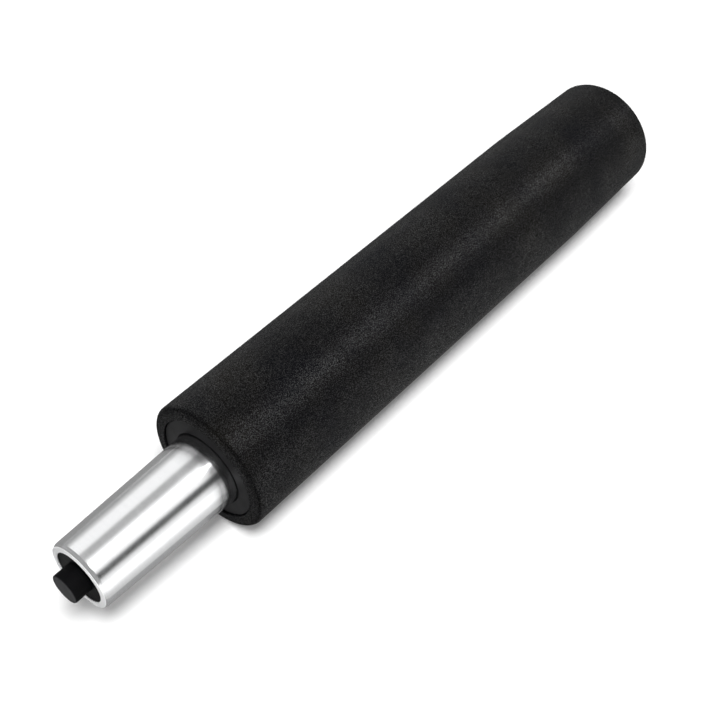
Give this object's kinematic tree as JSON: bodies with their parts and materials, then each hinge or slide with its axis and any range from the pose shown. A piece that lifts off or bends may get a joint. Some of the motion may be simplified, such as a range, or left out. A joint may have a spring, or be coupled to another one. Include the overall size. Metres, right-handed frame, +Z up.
{
  "type": "chair gas lift cylinder",
  "caption": "Height cylinder of a swivel chair: black column tube with a base taper, silver pressure tube with a seat taper, release button, valve, piston rod and thrust bearing.",
  "frame": {"origin": "centre of the column tube's rim at the chair-base end, on the cylinder's axis", "axes": "+X along the cylinder's axis towards the seat, +Z up as the cylinder lies on a surface in the picture"},
  "size_m": [0.2999, 0.05, 0.05],
  "materials": {
    "crinkle_coat": "black crinkle powder coat",
    "black_moulding": "satin black",
    "button_plastic": "satin black",
    "polished_tube": "fine ground and plated",
    "rod_chrome": "hard chrome",
    "plain_steel": "zinc plated",
    "spring_steel": "oiled black",
    "bearing_steel": "ground",
    "drawn_tube": "drawn",
    "turned_aluminium": "turned",
    "brass": "turned",
    "black_rubber": "matt",
    "cage_plastic": "natural nylon",
    "white_plastic": "smooth"
  },
  "bodies": {
    "column": {"outer_tube": "crinkle_coat", "guide_bush": "black_moulding", "base_cup": "plain_steel", "lower_race": "bearing_steel"},
    "bearing": {"ball_cage": "cage_plastic", "bearing_balls": "bearing_steel"},
    "rod": {"piston_rod": "rod_chrome", "retaining_clip": "spring_steel", "clip_washer": "plain_steel", "upper_race": "bearing_steel", "buffer_dish": "plain_steel", "rubber_buffer": "black_rubber", "piston_washer": "plain_steel", "piston": "turned_aluminium", "piston_ring": "white_plastic", "piston_o_ring": "black_rubber", "piston_nut": "plain_steel"},
    "housing": {"pressure_tube": "polished_tube", "end_washer": "plain_steel", "rod_seal": "black_rubber", "seal_spacer": "brass", "rod_guide": "turned_aluminium", "inner_tube": "drawn_tube", "valve_body": "turned_aluminium", "valve_o_ring": "black_rubber", "spigot_o_ring": "black_rubber", "upper_pin_seal": "black_rubber", "lower_pin_seal": "black_rubber", "valve_spacer": "brass", "valve_retainer": "brass", "end_insert": "black_moulding"},
    "button": {"release_button": "button_plastic", "valve_pin": "bearing_steel"}
  },
  "joints": [
    {"name": "swivel", "type": "hinge", "parent": "column", "child": "rod", "pos_m": [0.0127, 0, 0], "axis": [1, 0, 0], "continuous": true},
    {"name": "bearing_roll", "type": "hinge", "parent": "column", "child": "bearing", "pos_m": [0.0127, 0, 0], "axis": [1, 0, 0], "continuous": true},
    {"name": "lift", "type": "slide", "parent": "rod", "child": "housing", "axis": [1, 0, 0], "range_m": [0, 0.12]},
    {"name": "release", "type": "slide", "parent": "housing", "child": "button", "axis": [-1, 0, 0], "range_m": [0, 0.003], "stiffness_N_per_m": 1500}
  ],
  "couplings": [
    {"joint": "bearing_roll", "follows": "swivel", "ratio": 0.5}
  ]
}
